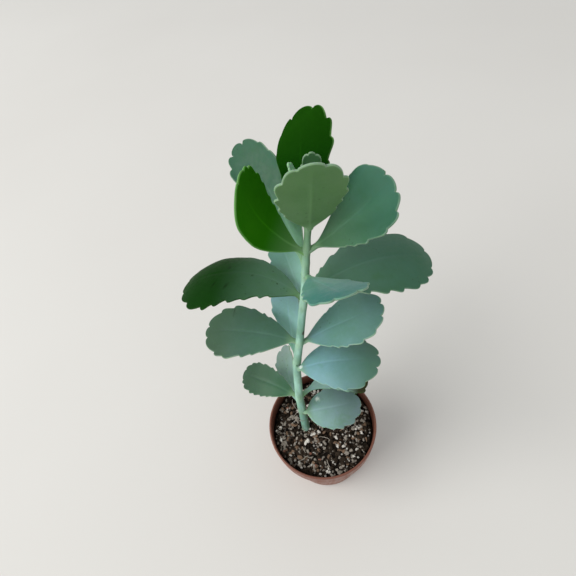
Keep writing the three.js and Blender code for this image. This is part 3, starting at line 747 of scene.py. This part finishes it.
def margin_rows(leaf, side):
    """Margin from stalk to tip on one side: distance along, distance out, even share of it."""
    outline = outline_reader(leaf)
    ends, depths = notches(leaf, side), tooth_depths(leaf, side)
    start = smooth_share(leaf)
    rows = []
    for i in range(SMOOTH_ROWS):
        at = start * i / SMOOTH_ROWS
        rows.append((*outline(at), at))
    for tooth, depth in enumerate(depths):
        last = tooth == leaf["teeth"]
        lean = between(FIRST_TOOTH_LEAN, TOOTH_LEAN, tooth / leaf["teeth"])
        fullness = between(FIRST_TOOTH_FULLNESS, TOOTH_FULLNESS, tooth / leaf["teeth"])
        for i in range(ROWS_PER_TOOTH):
            phase = i / (ROWS_PER_TOOTH - last)
            at = between(ends[tooth], ends[tooth + 1], phase)
            way = outline(min(at + 0.01, 1)) - outline(at - 0.01)
            way /= np.hypot(*way)
            outward = np.array([1, 0]) if at == 1 else np.array([-way[1], way[0]])
            swell = abs(sin(pi * (phase / 2 if last else phase ** lean))) ** fullness
            x, y = outline(at) + outward * depth * (swell - TOOTH_SINK)
            even = between(start, 1, (tooth + (phase / 2 if last else phase)) / (leaf["teeth"] + 0.5))
            rows.append((x, max(y, 0), even))
    return np.array(rows)


def depth_inside(leaf, x, y):
    """Distance from the smooth outline, 0 at points outside it."""
    edge_x, edge_y = smooth_outline(leaf, 120)
    apart = np.hypot(x[..., None] - edge_x, y[..., None] - edge_y).min(-1)
    return np.where(y < half_width(leaf, x / leaf["length"]), apart, 0)


THIN_BAND = 7  # the blade thins out over this distance from its outline
INNER_COLUMNS = np.array([0, 0.04, 0.09, 0.17, 0.28, 0.4, 0.53, 0.66, 0.79, 0.9])
EDGE_COLUMNS = np.array([0.5, 0.28, 0.13, 0.04, 0])  # distances from the margin
EDGE_ROUND = 0.4
RIPPLE = 0.22
RIB_GROOVE = 0.15
RIB_KEEL = 0.2
SIDE_VEINS = 8
SIDE_VEIN_RELIEF = 0.015
RIPPLE_TURNS = 17  # radians of the ripple along a leaf
RIB_HALF_WIDTH = 0.7
UNDERSIDE = (0.13, 0.22, 0.14)
COLOUR_TURN = (0.1, 0.95)


def mark_strength(x, y, marks):
    """How strongly small round marks show at x along and y to the left of the midrib."""
    strength = np.zeros(x.shape)
    for along, left, radius in marks:
        apart = np.hypot(x - along, y - left)
        strength = np.maximum(strength, 1 - smoothstep(0.45 * radius, radius, apart))
    return strength


BLADE_ATTRIBUTES = (
    "along", "from_rib", "from_margin", "vein", "dark_mark", "pale_mark", "tone",
)


def leaf_piece(leaf, number, material):
    """Both faces of a blade from the midrib to its toothed margin, with its veins, and the
    open end of the stalk closed inside the stem."""
    frames = midrib(leaf)
    foot_x = frames[0][:FOOT_STEPS] * leaf["length"]
    verts, faces = [], []
    extra = {key: [] for key in BLADE_ATTRIBUTES}
    near, far = np.array(leaf["near"]), np.array(leaf["far"])
    under = np.array(leaf.get("under", UNDERSIDE))
    stalk_end = {}
    for side in (1, -1):
        x, y, at = margin_rows(leaf, side).T
        rib = np.concatenate([foot_x, at * (1 - FAN * at) * leaf["length"]])
        x = np.concatenate([foot_x, x])
        y = np.concatenate([STALK_HALF_WIDTH - 0.12 * foot_x, y])
        at = np.concatenate([0 * foot_x, at])
        reach = np.hypot(x - rib, y)
        inner = INNER_COLUMNS[None] * np.maximum(1 - EDGE_COLUMNS[0] / reach, 0.3)[:, None]
        edge = 1 - np.minimum(EDGE_COLUMNS[None] / reach[:, None], 0.7 * EDGE_COLUMNS / EDGE_COLUMNS[0])
        fraction = np.hstack([inner, edge])
        share = (rib[:, None] + (x - rib)[:, None] * fraction) / leaf["length"]
        sideways = side * y[:, None] * fraction
        point, upward = blade_surface(leaf, frames, share, sideways)
        to_edge = (1 - fraction) * reach[:, None]
        stalk = np.clip(1 - share / STALK_SHARE, 0, 1) ** 2
        inside = depth_inside(leaf, share * leaf["length"], abs(sideways))
        thinning = 1 - smoothstep(0, THIN_BAND, inside)
        blade = between(BLADE_HALF_THICKNESS, MARGIN_HALF_THICKNESS, thinning)
        edge_round = np.clip(to_edge / EDGE_ROUND, 0, 1)
        blade = blade * np.sqrt(1 - (1 - edge_round) ** 2)
        round_stalk = STALK_HALF_THICKNESS * np.sqrt(1 - fraction ** 2)
        half = blade + (round_stalk - blade) * stalk
        out = np.abs(sideways) / (leaf["width"] / 2)
        ripple = RIPPLE * out ** 2 * np.sin(share * RIPPLE_TURNS + number * 1.7 + side)
        rib_line = np.exp(-((sideways / RIB_HALF_WIDTH) ** 2)) * smoothstep(0.05, 0.2, share)
        rib_line = rib_line * (1 - smoothstep(0.6, 0.95, share))
        veins = at[:, None] * SIDE_VEINS + 0.5
        side_vein = np.exp(-((((veins % 1) - 0.5) / 0.1) ** 2)) * smoothstep(1, 5, to_edge)
        side_vein = SIDE_VEIN_RELIEF * side_vein * smoothstep(0.2, 0.35, share)
        top = point + upward * (half + ripple - RIB_GROOVE * rib_line - side_vein)[..., None]
        low = point - upward * (half - ripple + RIB_KEEL * rib_line + side_vein)[..., None]
        # the change from the near to the far colour is partly painted light and shade
        changed = smoothstep(*leaf.get("turn", COLOUR_TURN), share)[..., None]
        upper_tone = near + (far - near) * changed
        count = fraction.shape[1]
        for face, sheet in ((1, top), (-1, low)):
            base = len(verts)
            verts.extend(sheet.reshape(-1, 3))
            tone = upper_tone if face > 0 else np.broadcast_to(under, upper_tone.shape)
            extra["along"].extend(share.ravel())
            extra["from_rib"].extend(np.abs(sideways).ravel())
            extra["from_margin"].extend(to_edge.ravel())
            extra["vein"].extend(np.broadcast_to(veins, share.shape).ravel())
            for kind in ("dark_mark", "pale_mark"):
                strength = mark_strength(share * leaf["length"], sideways, leaf.get(kind + "s", ()))
                extra[kind].extend((strength * (face > 0)).ravel())
            extra["tone"].extend(tone.reshape(-1, 3))
            stalk_end[side, face] = [base + j for j in range(count)]
            for i in range(len(x) - 1):
                for j in range(count - 1):
                    a = base + i * count + j
                    quad = [a, a + count, a + count + 1, a + 1]
                    faces.append(quad if side * face > 0 else quad[::-1])
    loop = (stalk_end[1, 1][::-1] + stalk_end[-1, 1][1:]
            + stalk_end[-1, -1][-2::-1] + stalk_end[1, -1][1:-1])
    centre = len(verts)
    verts.append(np.mean([verts[i] for i in loop], axis=0))
    for key, rows in extra.items():
        rows.append(rows[loop[0]])
    for i, j in zip(loop, loop[1:] + loop[:1]):
        faces.append([centre, i, j])
    piece = new_piece(leaf["name"] + "_blade", verts, faces, extra)
    piece.data.materials.append(material)
    return piece


def make_leaves():
    waxy = leaf_finish("waxy_leaf", rib=0.22, bloom=0.14, gloss=0.28)
    rubbed = leaf_finish("rubbed_leaf", rib=0.12, bloom=0.02, gloss=0.02,
                         edge_colour=(0.025, 0.07, 0.015), freckles=0.9)
    fresh = leaf_finish("fresh_leaf", rib=0.5, bloom=0.01, gloss=0.0,
                        edge_colour=(0.16, 0.34, 0.1), freckles=0.3)
    finishes = {**dict.fromkeys(FRESH_LEAVES, fresh), **dict.fromkeys(RUBBED_LEAVES, rubbed)}
    for number, leaf in enumerate(LEAVES):
        blade = leaf_piece(leaf, number, finishes.get(leaf["name"], waxy))
        hand_over(blade, "leaf_green", leaf["name"])


# ---------------------------------------------------------------- pot

COLLAR_FOOT = POT_HEIGHT - COLLAR_HEIGHT
CUP_TOP_RADIUS = RIM_RADIUS - COLLAR_DRAFT - COLLAR_STEP


def cup_inside(height):
    share = (height - FLOOR) / (COLLAR_FOOT - FLOOR)
    return BASE_RADIUS + (CUP_TOP_RADIUS - BASE_RADIUS) * share - WALL


def pot_profile():
    """Outer wall from the base up, over the lip and down the inner wall: radius, height."""
    collar = RIM_RADIUS - COLLAR_DRAFT
    lip_middle = RIM_RADIUS - LIP / 2
    rows = [(0, 0), (10, 0), (BASE_RADIUS - 1.1, 0), (BASE_RADIUS - 0.5, 0.15),
            (BASE_RADIUS - 0.12, 0.5), (BASE_RADIUS, 1.1)]
    for share in np.linspace(0.06, 0.94, 12):
        rows.append((BASE_RADIUS + (CUP_TOP_RADIUS - BASE_RADIUS) * share,
                     1 + (COLLAR_FOOT - 2) * share))
    rows += [(CUP_TOP_RADIUS, COLLAR_FOOT - 0.9), (CUP_TOP_RADIUS + 0.25, COLLAR_FOOT - 0.3),
             (collar - 0.7, COLLAR_FOOT), (collar - 0.25, COLLAR_FOOT + 0.12),
             (collar - 0.02, COLLAR_FOOT + 0.5)]
    for share in np.linspace(0.15, 0.85, 4):
        rows.append((collar + (RIM_RADIUS - 0.35 - collar) * share,
                     COLLAR_FOOT + 0.5 + (COLLAR_HEIGHT - 3) * share))
    rows += [(RIM_RADIUS - 0.3, POT_HEIGHT - 2.2), (RIM_RADIUS - 0.02, POT_HEIGHT - 1.7)]
    for turn in np.linspace(0, pi, 9):
        rows.append((lip_middle + LIP / 2 * cos(turn), POT_HEIGHT - 0.75 + 0.75 * sin(turn)))
    inner = RIM_RADIUS - LIP
    rows += [(inner - 0.05, POT_HEIGHT - 2), (collar - WALL - 0.35, COLLAR_FOOT + 2.2),
             (collar - WALL - 0.8, COLLAR_FOOT + 1.2), (cup_inside(COLLAR_FOOT), COLLAR_FOOT + 0.4)]
    for share in np.linspace(0.1, 0.9, 8):
        height = COLLAR_FOOT + (FLOOR + 1.4 - COLLAR_FOOT) * share
        rows.append((cup_inside(height), height))
    rows += [(cup_inside(FLOOR) - 0.2, FLOOR + 0.8), (cup_inside(FLOOR) - 1.2, FLOOR),
             (8, FLOOR), (0, FLOOR)]
    return np.array(rows)


POT_SIDES = 144
OUT_OF_ROUND = 0.0016  # thin plastic is never quite round


def make_pot(material):
    profile = pot_profile()
    turn = 2 * pi * np.arange(POT_SIDES) / POT_SIDES
    sway = 1 - OUT_OF_ROUND + OUT_OF_ROUND * np.cos(2 * turn + 0.8)
    verts = np.vstack([ring(radius * sway, height, turn) for radius, height in profile])
    faces = list(ring_corners(len(profile), POT_SIDES))
    lip = int(np.argmax(profile[:, 1]))
    inside = np.repeat((np.arange(len(profile)) > lip + 3) * 1.0, POT_SIDES)
    inside *= smoothstep(POT_HEIGHT - 0.6, POT_HEIGHT - 5, np.repeat(profile[:, 1], POT_SIDES))
    rim = np.repeat(smoothstep(POT_HEIGHT - 2.4, POT_HEIGHT - 1, profile[:, 1]), POT_SIDES)
    pot = new_piece("pot_shell", verts, faces, {"inside": inside, "rim": rim})
    pot.data.materials.append(material)

    cutters = []
    for i in range(DRAIN_COUNT):
        at = 2 * pi * (i + 0.5) / DRAIN_COUNT
        bpy.ops.mesh.primitive_cylinder_add(
            vertices=32, radius=DRAIN_RADIUS * MM, depth=4 * FLOOR * MM,
            location=(DRAIN_CIRCLE * cos(at) * MM, DRAIN_CIRCLE * sin(at) * MM, FLOOR / 2 * MM))
        cutters.append(bpy.context.object)
        cut = pot.modifiers.new("drain", "BOOLEAN")
        cut.object = cutters[-1]
        cut.solver = "EXACT"
    pot = baked(pot)
    for cutter in cutters:
        bpy.data.objects.remove(cutter)
    hand_over(pot, "pot_plastic", "pot")


# ---------------------------------------------------------------- soil

BED_RINGS = 54
BED_SIDES = 132
SOIL_BUMPS = [(0.5, 7, 1.3), (0.55, 2.4, 2.9), (0.35, 1.1, 4.1)]  # height, size, seed
GRAIN_REACH = 27.2


def lumps(x, y, size, seed):
    """Smooth seeded unevenness in -1..1 with bumps of about this size."""
    i, j = np.floor(x / size), np.floor(y / size)
    u, v = x / size - i, y / size - j
    u, v = u * u * (3 - 2 * u), v * v * (3 - 2 * v)

    def corner(a, b):
        value = np.sin(a * 127.1 + b * 311.7 + seed) * 43758.5453
        return 2 * (value - np.floor(value)) - 1

    near = corner(i, j) * (1 - u) + corner(i + 1, j) * u
    far = corner(i, j + 1) * (1 - u) + corner(i + 1, j + 1) * u
    return near * (1 - v) + far * v


def make_soil_bed(material):
    """The soil's uneven top and the sides and floor that the pot hides."""
    top_radius = RIM_RADIUS - LIP - 3 * GAP
    walls = [(top_radius, COLLAR_FOOT + 1.6 + GAP), (cup_inside(COLLAR_FOOT) - 2 * GAP, COLLAR_FOOT),
             (cup_inside(FLOOR + 1.2) - 2 * GAP, FLOOR + 1.2 + GAP),
             (cup_inside(FLOOR) - 1.2 - 2 * GAP, FLOOR + GAP), (0, FLOOR + GAP)]
    turn = 2 * pi * np.arange(BED_SIDES) / BED_SIDES
    verts = []
    foot = stem_centre(SOIL_TOP)
    for step in range(BED_RINGS + 1):
        radius = top_radius * step / BED_RINGS
        x, y = radius * np.cos(turn), radius * np.sin(turn)
        height = SOIL_TOP - 0.5
        for bump, size, seed in SOIL_BUMPS:
            height = height + bump * lumps(x, y, size, seed)
        beside = np.hypot(x - foot[0], y - foot[1])
        height = height + 0.5 * np.exp(-((beside / 4) ** 2))
        height -= 0.5 * smoothstep(0.9, 1.0, radius / top_radius)
        verts.extend(ring(radius, height, turn))
    for radius, height in walls:
        verts.extend(ring(radius, height, turn))
    corners = ring_corners(BED_RINGS + 1 + len(walls), BED_SIDES)
    faces = [[a, d, c, b] for a, b, c, d in corners]
    bed = new_piece("soil_bed", verts, faces)
    bed.data.materials.append(material)
    hand_over(bed, "soil", "soil")
    return bed


def grain_shape(name, seed, flatness):
    """A small angular grain: a subdivided cube with shifted corners, radius about 1 m."""
    bpy.ops.mesh.primitive_cube_add(size=2)
    grain = bpy.context.object
    grain.name = name
    grain.modifiers.new("round", "SUBSURF").levels = 1
    grain = baked(grain)
    random = np.random.default_rng(seed)
    for vertex in grain.data.vertices:
        vertex.co *= 1.15 + random.uniform(-0.38, 0.38)
        vertex.co.z *= flatness
    return grain


def scatter_tree():
    """Scatters grains over the level part of a bed, each with its own size and tone."""
    tree, given, result = new_tree(
        "scatter_grains", Grain="Object", Density="Float", Patchiness="Float", Seed="Int",
        Smallest="Float", Largest="Float", Lift="Float", Stretch="Float", Reach="Float",
        Material="Material")

    def chance(low, high):
        """A number between these two for each grain."""
        inputs = {2: low, 3: high, "Seed": given["Seed"]}
        return add_node(tree, "FunctionNodeRandomValue", inputs, data_type="FLOAT").outputs[1]

    normal = add_node(tree, "GeometryNodeInputNormal")
    parts = add_node(tree, "ShaderNodeSeparateXYZ", {0: normal})
    level = add_node(tree, "FunctionNodeCompare", {0: parts.outputs["Z"], 1: 0.25},
                     data_type="FLOAT", operation="GREATER_THAN")
    seed_shift = add_node(tree, "ShaderNodeCombineXYZ", {2: given["Seed"]})
    where = add_node(tree, "GeometryNodeInputPosition")
    shifted = add_node(tree, "ShaderNodeVectorMath", {0: where, 1: seed_shift}, operation="ADD")
    patches = add_node(tree, "ShaderNodeTexNoise", {
        "Vector": shifted, "Scale": 190.0, "Detail": 2.0})
    share = add_node(tree, "ShaderNodeMapRange", {0: patches, 1: 0.38, 2: 0.62})
    unpatched = add_node(tree, "ShaderNodeMath", {0: 1.0, 1: given["Patchiness"]},
                         operation="SUBTRACT")
    fullness = add_node(tree, "ShaderNodeMapRange", {0: share, 3: unpatched})
    density = add_node(tree, "ShaderNodeMath", {0: fullness, 1: given["Density"]},
                       operation="MULTIPLY")
    points = add_node(tree, "GeometryNodeDistributePointsOnFaces", {
        "Mesh": given["Geometry"], "Selection": level,
        "Density": density, "Seed": given["Seed"]})
    place = add_node(tree, "GeometryNodeInputPosition")
    level_place = add_node(tree, "ShaderNodeVectorMath", {0: place, 1: (1.0, 1.0, 0.0)},
                           operation="MULTIPLY")
    from_axis = add_node(tree, "ShaderNodeVectorMath", {0: level_place}, operation="LENGTH")
    too_far = add_node(tree, "FunctionNodeCompare", {
        0: from_axis.outputs["Value"], 1: given["Reach"]}, data_type="FLOAT", operation="GREATER_THAN")
    points = add_node(tree, "GeometryNodeDeleteGeometry", {
        "Geometry": points.outputs["Points"], "Selection": too_far}, domain="POINT")
    size = chance(given["Smallest"], given["Largest"])
    longer = chance(1.0, given["Stretch"])
    long_size = add_node(tree, "ShaderNodeMath", {0: size, 1: longer}, operation="MULTIPLY")
    scale = add_node(tree, "ShaderNodeCombineXYZ", {0: long_size, 1: size, 2: size})
    turn = add_node(tree, "FunctionNodeRandomValue", {
        0: (-0.7, -0.7, 0.0), 1: (0.7, 0.7, 6.283), "Seed": given["Seed"]}, data_type="FLOAT_VECTOR")
    shape = add_node(tree, "GeometryNodeObjectInfo", {"Object": given["Grain"]})
    copies = add_node(tree, "GeometryNodeInstanceOnPoints", {
        "Points": points, "Instance": shape.outputs["Geometry"],
        "Rotation": turn, "Scale": scale})
    lift = add_node(tree, "ShaderNodeCombineXYZ", {2: given["Lift"]})
    lifted = add_node(tree, "GeometryNodeTranslateInstances", {
        "Instances": copies, "Translation": lift, "Local Space": False})
    toned = add_node(tree, "GeometryNodeStoreNamedAttribute", {
        "Geometry": lifted, "Name": "grain_tone", "Value": chance(0.0, 1.0)},
        data_type="FLOAT", domain="INSTANCE")
    return close_tree(tree, toned, given["Material"], result)


def make_soil_top(bed):
    """Loose grains of several kinds on a copy of the bed's top."""
    tree = scatter_tree()
    angular = grain_shape("angular_grain", 4, 0.85)
    flaky = grain_shape("flaky_grain", 9, 0.4)
    kinds = [
        # the dark crumbs' near-black end is partly painted shade between the grains
        dict(name="dark_crumbs", shape=angular, density=380000, patchiness=0.0, seed=3,
             small=0.45, large=1.15, lift=-0.1, stretch=1.5,
             finish=crumb_finish("dark_crumbs", (0.002, 0.0016, 0.0013), (0.036, 0.026, 0.018), 0.05)),
        dict(name="bark_bits", shape=flaky, density=140000, patchiness=0.7, seed=5,
             small=0.4, large=0.95, lift=0.25, stretch=1.9,
             finish=crumb_finish("bark_bits", (0.025, 0.015, 0.01), (0.22, 0.14, 0.09))),
        dict(name="red_bits", shape=angular, density=9000, patchiness=0.5, seed=21,
             small=0.5, large=0.9, lift=0.35, stretch=1.3,
             finish=crumb_finish("red_bits", (0.14, 0.055, 0.035), (0.36, 0.17, 0.12))),
        dict(name="grey_grains", shape=angular, density=400000, patchiness=0.85, seed=12,
             small=0.28, large=0.72, lift=0.3, stretch=1.7,
             finish=crumb_finish("grey_grains", (0.04, 0.033, 0.027), (0.34, 0.3, 0.255))),
        dict(name="pale_grit", shape=angular, density=150000, patchiness=0.8, seed=8,
             small=0.28, large=0.75, lift=0.4, stretch=1.6,
             finish=crumb_finish("pale_grit", (0.2, 0.19, 0.175), (0.72, 0.68, 0.62))),
    ]
    for kind in kinds:
        carrier = bpy.data.objects.new(kind["name"], bed.data.copy())
        bpy.context.collection.objects.link(carrier)
        carrier.data.materials.clear()
        grains = run_tree(
            carrier, tree, Grain=kind["shape"], Density=float(kind["density"]),
            Patchiness=kind["patchiness"], Seed=kind["seed"],
            Smallest=kind["small"] * MM, Largest=kind["large"] * MM, Lift=kind["lift"] * MM,
            Stretch=kind["stretch"], Reach=GRAIN_REACH * MM, Material=kind["finish"])
        hand_over(grains, "soil")
    for shape in (angular, flaky):
        bpy.data.objects.remove(shape)


def soil_height(x, y):
    bump, size, seed = SOIL_BUMPS[0]
    return SOIL_TOP - 0.1 + bump * float(lumps(np.array(x), np.array(y), size, seed))


FIBRE_COUNT = 9
FIBRE_STEPS = 12
FIBRE_REACH = 24


def make_fibres():
    """A few pale root fibres that lie on the soil."""
    f = Finish("root_fibre")
    streak = f.noise(700, 3)
    f.set(Base_Color=f.mix(streak, (0.22, 0.19, 0.16), (0.5, 0.45, 0.38)), Roughness=0.8)
    random = np.random.default_rng(21)
    fibres = []
    for number in range(FIBRE_COUNT):
        reach, at = random.uniform(8, 22), random.uniform(pi * 0.75, pi * 1.95)
        x, y = reach * cos(at), reach * sin(at)
        heading, length = random.uniform(0, 2 * pi), random.uniform(4, 9)
        points = []
        for share in np.linspace(0, 1, FIBRE_STEPS):
            points.append((x, y, soil_height(x, y) + 0.9 + 0.4 * sin(share * 5 + number)))
            heading += random.uniform(-0.35, 0.35)
            x += length / FIBRE_STEPS * cos(heading)
            y += length / FIBRE_STEPS * sin(heading)
            if x * x + y * y > FIBRE_REACH ** 2:
                x, y = x * 0.97, y * 0.97
        radii = 0.16 * np.sin(np.linspace(0.35, pi - 0.2, FIBRE_STEPS)) + 0.03
        fibres.append(tube_piece("fibre_%d" % number, points, radii, f.material, sides=6))
    with bpy.context.temp_override(active_object=fibres[0], selected_editable_objects=fibres):
        bpy.ops.object.join()
    fibres[0].name = "root_fibres"
    hand_over(fibres[0], "soil")


# ---------------------------------------------------------------- floor and light


def make_room():
    """A plain pale floor and even light from all round."""
    f = Finish("pale_floor")
    f.set(
        Base_Color=f.mix(f.noise(3, 3), (0.62, 0.6, 0.57), (0.68, 0.665, 0.635)),
        Roughness=0.75,
    )
    bpy.ops.mesh.primitive_plane_add(size=8)
    floor = bpy.context.object
    floor.name = "floor"
    floor.data.materials.append(f.material)
    world = bpy.data.worlds.new("pale_room")
    world.use_nodes = True
    world.node_tree.nodes["Background"].inputs["Color"].default_value = (0.92, 0.94, 0.95, 1)
    world.node_tree.nodes["Background"].inputs["Strength"].default_value = 0.7
    bpy.context.scene.world = world


def add_lamp(name, azimuth, elevation, distance, size, power, colour):
    """A soft square lamp that faces the plant; azimuth 0 is to the right, 90 is behind."""
    aim = Vector((0, 0.01, 0.11))
    turn, rise = radians(azimuth), radians(elevation)
    way = Vector((cos(turn) * cos(rise), sin(turn) * cos(rise), sin(rise)))
    data = bpy.data.lights.new(name, "AREA")
    data.size = size
    data.energy = power
    data.color = colour
    lamp = bpy.data.objects.new(name, data)
    lamp.location = aim + way * distance
    lamp.rotation_euler = way.to_track_quat("Z", "Y").to_euler()
    bpy.context.collection.objects.link(lamp)


make_room()
add_lamp("window_light", azimuth=190, elevation=42, distance=2.6, size=2, power=59,
         colour=(1.0, 0.995, 0.975))
bpy.context.scene.view_settings.view_transform = "Standard"

# ---------------------------------------------------------------- the plant

make_leaves()
make_stem(stem_skin())
make_pot(pot_plastic())
soil_bed = make_soil_bed(potting_soil())
make_soil_top(soil_bed)
make_fibres()
